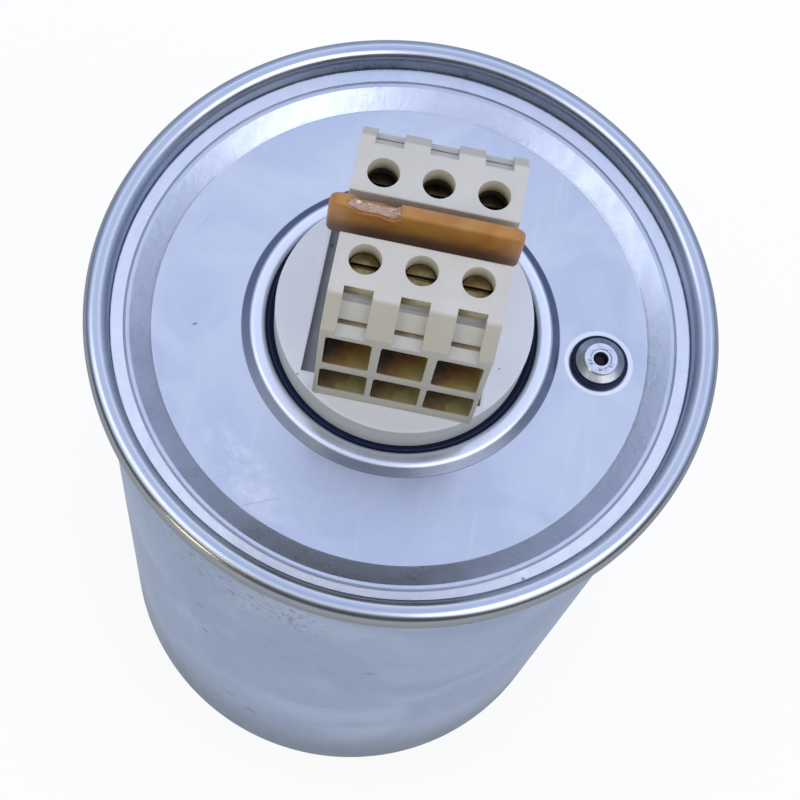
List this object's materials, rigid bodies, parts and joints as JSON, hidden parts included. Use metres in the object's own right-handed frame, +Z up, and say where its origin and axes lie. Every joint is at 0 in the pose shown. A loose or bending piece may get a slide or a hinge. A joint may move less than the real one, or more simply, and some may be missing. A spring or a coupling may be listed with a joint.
{
  "type": "power factor correction capacitor",
  "caption": "Cylindrical three-phase capacitor in a seamed aluminium can, with a double-row screw terminal block on its lid and a threaded stud in its base.",
  "frame": {"origin": "centre of the can's base plane, where the stud leaves it", "axes": "+Z up the can's axis towards the terminals, cables enter along +Y and -Y, the filling rivet lies towards +X"},
  "size_m": [0.1216, 0.1216, 0.2179],
  "materials": {
    "can_aluminium": "drawn, matt, lightly smudged",
    "lid_aluminium": "rolled sheet, satin, bright rolled rim",
    "seam_compound": "matt sealing compound",
    "base_plastic": "moulded, pale grey white",
    "gasket_rubber": "smooth dark blue black rubber",
    "plated_steel": "zinc plated",
    "potting": "cast, dull grey",
    "housing_plastic": "moulded, ivory",
    "passivated_steel": "yellow passivated steel",
    "tinned_brass": "tinned",
    "module_ceramic": "broken bisque",
    "module_coating": "dipped epoxy, satin",
    "rivet_aluminium": "satin",
    "rivet_steel": "dark broken pin",
    "winding_film": "metallised film edge to edge",
    "winding_insulation": "insulating film and mouldings",
    "sprayed_zinc": "sprayed, rough",
    "lead_insulation": "insulated wire"
  },
  "bodies": {
    "root": {"bottom_contact_rings": "sprayed_zinc", "can": "can_aluminium", "clamp_screws": "passivated_steel", "contact_spine": "housing_plastic", "crimp_sleeves": "tinned_brass", "current_bar_1": "tinned_brass", "current_bar_2": "tinned_brass", "current_bar_3": "tinned_brass", "discharge_board": "module_ceramic", "discharge_coating": "module_coating", "discharge_pins": "tinned_brass", "filling_rivet_body": "rivet_aluminium", "filling_rivet_pin": "rivet_steel", "filling_rivet_seal": "gasket_rubber", "front_clamp_cage_1": "passivated_steel", "front_clamp_cage_2": "passivated_steel", "front_clamp_cage_3": "passivated_steel", "front_terminal_housing": "housing_plastic", "hold_down_ring": "winding_insulation", "inner_winding": "winding_film", "inner_winding_separator": "winding_insulation", "insulating_cup": "winding_insulation", "lid": "lid_aluminium", "middle_winding": "winding_film", "outer_winding": "winding_film", "outer_winding_separator": "winding_insulation", "potting_compound": "potting", "rear_clamp_cage_1": "passivated_steel", "rear_clamp_cage_2": "passivated_steel", "rear_clamp_cage_3": "passivated_steel", "rear_terminal_housing": "housing_plastic", "return_lead_1": "lead_insulation", "return_lead_2": "lead_insulation", "return_lead_3": "lead_insulation", "seam_compound": "seam_compound", "terminal_base": "base_plastic", "terminal_gasket": "gasket_rubber", "terminal_retaining_ring": "plated_steel", "top_contact_rings": "sprayed_zinc", "top_lead_1": "lead_insulation", "top_lead_2": "lead_insulation", "top_lead_3": "lead_insulation", "winding_core_tube": "winding_insulation", "winding_sleeve": "winding_insulation"}
  },
  "joints": []
}
